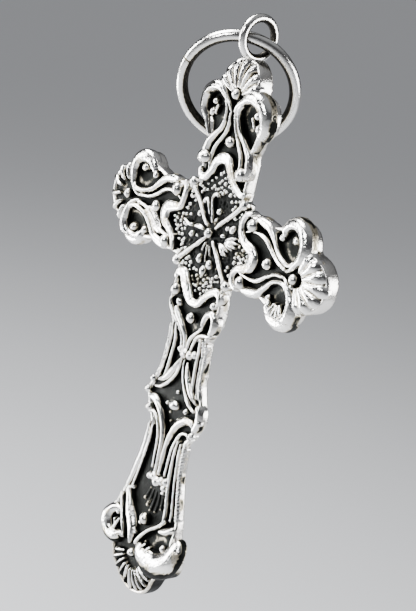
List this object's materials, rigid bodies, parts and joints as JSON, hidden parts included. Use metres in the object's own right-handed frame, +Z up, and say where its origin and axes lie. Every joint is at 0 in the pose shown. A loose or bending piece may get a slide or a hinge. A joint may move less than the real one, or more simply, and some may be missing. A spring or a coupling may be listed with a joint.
{
  "type": "cross pendant",
  "caption": "Baroque style silver cross pendant with applied scrolls, volutes, shells and beads, a fixed eyelet at the top and a loose jump ring through it.",
  "frame": {"origin": "centre of the eyelet, from which the cross hangs", "axes": "+Z up along the shaft, -Y out of the ornamented front, +Y out of the plain back, X along the side arms"},
  "size_m": [0.0292, 0.0081, 0.0515],
  "materials": {
    "oxidised_silver": "sterling silver with a black oxide patina, polished on its back and edges",
    "silver_relief": "sterling silver, high points polished bright and recesses oxidised",
    "silver_wire": "polished drawn sterling silver wire"
  },
  "bodies": {
    "pendant": {"cross_plate": "oxidised_silver", "centre_panel": "oxidised_silver", "centre_boss": "silver_relief", "ray_upper_right": "silver_relief", "ray_upper_left": "silver_relief", "ray_lower_left": "silver_relief", "ray_lower_right": "silver_relief", "ray_beads": "silver_relief", "spray_top": "silver_relief", "spray_left": "silver_relief", "spray_right": "silver_relief", "spray_bottom": "silver_relief", "granulation": "silver_relief", "bracket_top": "silver_relief", "bracket_left": "silver_relief", "bracket_right": "silver_relief", "bracket_bottom": "silver_relief", "corner_beads": "silver_relief", "field_beads": "silver_relief", "tip_beads": "silver_relief", "scrolls_top": "silver_relief", "scrolls_left": "silver_relief", "scrolls_right": "silver_relief", "volutes_top": "silver_relief", "volutes_left": "silver_relief", "volutes_right": "silver_relief", "shell_top": "silver_relief", "shell_left": "silver_relief", "shell_right": "silver_relief", "shaft_hooks": "silver_relief", "shaft_scrolls_upper": "silver_relief", "bow_upper": "silver_relief", "flutes_upper_left": "silver_relief", "flutes_upper_right": "silver_relief", "leaf_swags": "silver_relief", "knop_beads": "silver_relief", "shaft_scrolls_lower": "silver_relief", "bow_lower": "silver_relief", "flutes_lower_left": "silver_relief", "flutes_lower_right": "silver_relief", "foot_ribs": "silver_relief", "foot_bead": "silver_relief", "foot_bands": "silver_relief", "foot_volutes": "silver_relief", "foot_shell_bead": "silver_relief", "foot_shell": "silver_relief", "eyelet": "silver_wire"},
    "ring": {"jump_ring": "silver_wire"}
  },
  "joints": [
    {"name": "ring_swing", "type": "hinge", "parent": "pendant", "child": "ring", "pos_m": [0.00006, -0.00008, -0.00013], "axis": [0.6387, 0.7531, -0.1578], "range_deg": [0, 170]}
  ]
}
